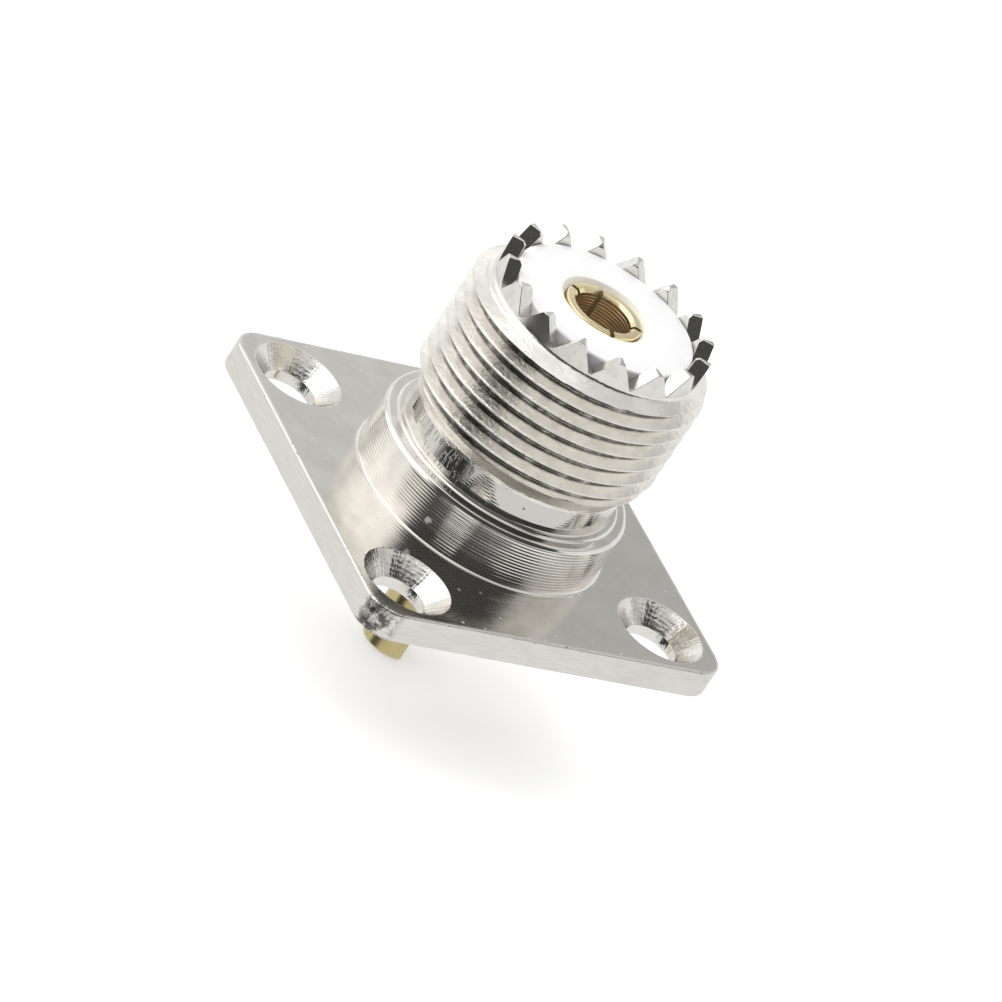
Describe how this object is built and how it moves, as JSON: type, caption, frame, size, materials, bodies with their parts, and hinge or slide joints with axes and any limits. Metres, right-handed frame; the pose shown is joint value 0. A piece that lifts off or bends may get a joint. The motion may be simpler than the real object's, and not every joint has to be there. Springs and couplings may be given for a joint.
{
  "type": "uhf connector",
  "caption": "Chassis-mount UHF coaxial receptacle: square countersunk flange, threaded barrel with a toothed crown, white insulator and slotted centre socket with a solder cup.",
  "frame": {"origin": "centre of the flange's rear face, the plane that lies against the panel", "axes": "+Z along the connector's axis towards the plug, +X and +Y along the square flange's sides, with the solder cup's open side facing +X"},
  "size_m": [0.0254, 0.0254, 0.0271],
  "materials": {
    "nickel_plate": "bright nickel plate on turned brass, satin on the flange",
    "white_insulator": "smooth white moulding",
    "gilt_brass": "thin gold plate on turned brass"
  },
  "bodies": {
    "root": {"shell": "nickel_plate", "insulator": "white_insulator", "center_contact": "gilt_brass"}
  },
  "joints": []
}
